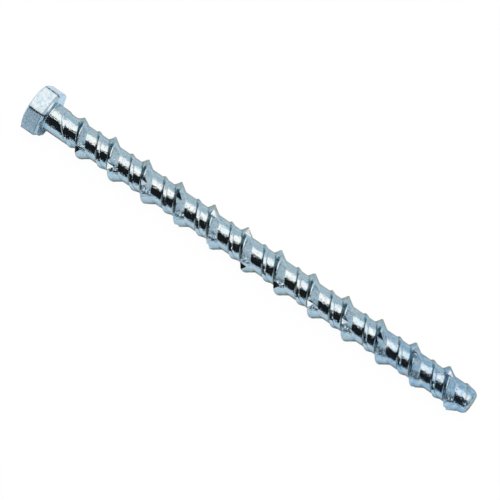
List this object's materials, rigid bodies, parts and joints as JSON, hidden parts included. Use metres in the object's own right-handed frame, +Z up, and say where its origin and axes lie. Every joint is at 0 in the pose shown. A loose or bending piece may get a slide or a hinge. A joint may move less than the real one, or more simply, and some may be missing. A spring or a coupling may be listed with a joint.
{
  "type": "concrete screw",
  "caption": "Hexagon head concrete screw in zinc plated steel, with a high and a low thread ridge that cut their own thread in a drilled hole.",
  "frame": {"origin": "on the surface that the screw lies on, under the middle of its bounding box", "axes": "+X along the screw from the head to the tip, +Z up from the surface, +Y to the side"},
  "size_m": [0.2082, 0.022, 0.0191],
  "materials": {
    "zinc_plated_steel": "bright blue-white zinc plating, satin on the head, glossy on the shank"
  },
  "bodies": {
    "root": {"concrete_screw": "zinc_plated_steel"}
  },
  "joints": []
}
